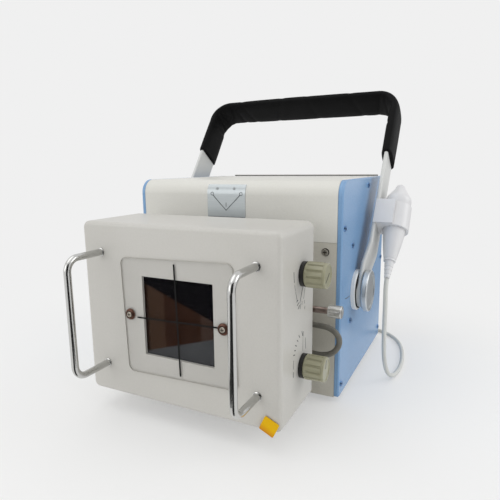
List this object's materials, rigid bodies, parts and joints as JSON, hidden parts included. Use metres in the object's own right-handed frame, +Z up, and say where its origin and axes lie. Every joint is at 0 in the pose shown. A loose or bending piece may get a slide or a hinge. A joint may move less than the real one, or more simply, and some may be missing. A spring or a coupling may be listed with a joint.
{
  "type": "portable x-ray unit",
  "caption": "Portable x-ray unit: cream and blue generator box, swivelling collimator with crosshair window, shutter knobs, strap handle and corded hand switch.",
  "frame": {"origin": "centre of the four stand bolt holes, on the underside of the base plate", "axes": "+X to the right of someone facing the collimator, +Y back through the housing away from the collimator, +Z up"},
  "size_m": [0.2808, 0.4502, 0.3093],
  "materials": {
    "cream_paint": "satin textured off-white powder coat",
    "blue_paint": "satin light blue coat",
    "white_paint": "smooth white coat",
    "knob_paint": "matte greenish-grey moulded plastic",
    "steel": "satin steel",
    "aluminium": "turned or satin aluminium",
    "cast_iron": "varnished laminations",
    "lead": "dull grey lead alloy",
    "bronze": "dull bronze washers and screws",
    "brass_nickel": "nickelled brass",
    "glass": "clear glass",
    "clear_sheet": "clear plastic sheet",
    "window_dark": "glossy dark window pane",
    "mirror": "coated mirror",
    "plastic_white": "smooth white plastic",
    "plastic_black": "black plastic",
    "plastic_grey": "matte membrane film",
    "plastic_green": "circuit board laminate",
    "rubber_black": "black rubber",
    "foam_black": "black foam sleeve",
    "cord_white": "light grey cord jacket",
    "cable_grey": "dark grey cable jacket",
    "yellow_plastic": "yellow plastic"
  },
  "bodies": {
    "housing": {"base_plate": "aluminium", "rubber_feet": "rubber_black", "side_panel_left": "blue_paint", "side_panel_right": "blue_paint", "side_frames": "steel", "housing_screws": "steel", "top_cover": "cream_paint", "front_plate": "cream_paint", "rear_panel": "cream_paint", "keypad_overlay": "plastic_grey", "mains_inlet": "plastic_black", "inlet_pins": "brass_nickel", "alignment_plate": "aluminium", "tank_body": "aluminium", "tank_lid": "aluminium", "transformer": "cast_iron", "xray_tube_glass": "glass", "tube_electrodes": "steel", "inverter_board": "plastic_green", "heat_sink": "aluminium", "control_board": "plastic_green", "port_flange": "aluminium", "switch_socket": "steel", "switch_plug": "plastic_black", "switch_cord_coil": "cord_white", "switch_cord_tail": "cord_white", "switch_cord_floor": "cord_white", "pivot_spacers": "aluminium", "pivot_bolts": "steel", "friction_washers": "rubber_black"},
    "mains_rocker": {"mains_rocker": "plastic_black"},
    "clamp_left": {"clamp_disc_left": "aluminium"},
    "clamp_right": {"clamp_disc_right": "aluminium"},
    "handle": {"handle_strap": "white_paint", "foam_grip": "foam_black", "switch_holder": "plastic_white", "switch_cord_hang": "cord_white"},
    "hand_switch": {"hand_switch_shell": "plastic_white", "switch_strain_relief": "plastic_white"},
    "exposure_button": {"exposure_button": "plastic_white"},
    "collimator": {"collimator_shell": "cream_paint", "collimator_back": "cream_paint", "collimator_back_screws": "steel", "crosshair_sheet": "clear_sheet", "beam_window": "window_dark", "sheet_screws": "bronze", "collimator_handles": "steel", "swivel_ring": "aluminium", "leaf_guide": "aluminium", "field_lamp": "aluminium", "field_mirror": "mirror", "lamp_cable": "cable_grey"},
    "lock_screw": {"lock_screw": "steel"},
    "knob_upper": {"shutter_knob_upper": "knob_paint"},
    "knob_lower": {"shutter_knob_lower": "knob_paint"},
    "leaf_left": {"shutter_leaf_left": "lead"},
    "leaf_right": {"shutter_leaf_right": "lead"},
    "leaf_low": {"shutter_leaf_low": "lead"},
    "leaf_high": {"shutter_leaf_high": "lead"},
    "tape": {"tape_tab": "yellow_plastic"}
  },
  "joints": [
    {"name": "handle_tilt", "type": "hinge", "parent": "housing", "child": "handle", "pos_m": [0, -0.04, 0.093], "axis": [1, 0, 0], "range_deg": [-54, 86], "deforming": ["switch_cord_floor"]},
    {"name": "clamp_turn_left", "type": "hinge", "parent": "housing", "child": "clamp_left", "pos_m": [-0.1215, -0.04, 0.093], "axis": [-1, 0, 0], "range_deg": [0, 180]},
    {"name": "clamp_turn_right", "type": "hinge", "parent": "housing", "child": "clamp_right", "pos_m": [0.1215, -0.04, 0.093], "axis": [1, 0, 0], "range_deg": [0, 180]},
    {"name": "collimator_swivel", "type": "hinge", "parent": "housing", "child": "collimator", "pos_m": [0, -0.127, 0.093], "axis": [0, -1, 0], "range_deg": [-45, 45], "deforming": ["lamp_cable"]},
    {"name": "lock_turn", "type": "hinge", "parent": "collimator", "child": "lock_screw", "pos_m": [0.112, -0.12, 0.093], "axis": [1, 0, 0], "range_deg": [0, 270]},
    {"name": "knob_upper_turn", "type": "hinge", "parent": "collimator", "child": "knob_upper", "pos_m": [0.1, -0.1525, 0.132], "axis": [1, 0, 0], "range_deg": [-90, 60]},
    {"name": "knob_lower_turn", "type": "hinge", "parent": "collimator", "child": "knob_lower", "pos_m": [0.1, -0.1525, 0.054], "axis": [1, 0, 0], "range_deg": [-90, 60]},
    {"name": "tape_pull", "type": "slide", "parent": "collimator", "child": "tape", "axis": [0, -1, 0], "range_m": [0, 0.035]},
    {"name": "switch_lift", "type": "slide", "parent": "handle", "child": "hand_switch", "axis": [0, 0.5878, 0.809], "range_m": [0, 0.06], "deforming": ["switch_cord_hang"]},
    {"name": "exposure_press", "type": "slide", "parent": "hand_switch", "child": "exposure_button", "axis": [0, -0.5878, -0.809], "range_m": [0, 0.004], "stiffness_N_per_m": 400},
    {"name": "mains_switch", "type": "hinge", "parent": "housing", "child": "mains_rocker", "pos_m": [-0.036, 0.095, 0.034], "axis": [1, 0, 0], "range_deg": [-16, 0]},
    {"name": "leaf_left_slide", "type": "slide", "parent": "collimator", "child": "leaf_left", "axis": [-1, 0, 0], "range_m": [-0.01979, 0.01319]},
    {"name": "leaf_right_slide", "type": "slide", "parent": "collimator", "child": "leaf_right", "axis": [1, 0, 0], "range_m": [-0.0199, 0.0134]},
    {"name": "leaf_low_slide", "type": "slide", "parent": "collimator", "child": "leaf_low", "axis": [0, 0, -1], "range_m": [-0.01979, 0.01319]},
    {"name": "leaf_high_slide", "type": "slide", "parent": "collimator", "child": "leaf_high", "axis": [0, 0, 1], "range_m": [-0.0199, 0.0134]}
  ],
  "couplings": [
    {"joint": "leaf_right_slide", "follows": "leaf_left_slide", "ratio": 1},
    {"joint": "knob_upper_turn", "follows": "leaf_left_slide", "rad_per_m": 79.365},
    {"joint": "leaf_high_slide", "follows": "leaf_low_slide", "ratio": 1},
    {"joint": "knob_lower_turn", "follows": "leaf_low_slide", "rad_per_m": 79.365}
  ]
}
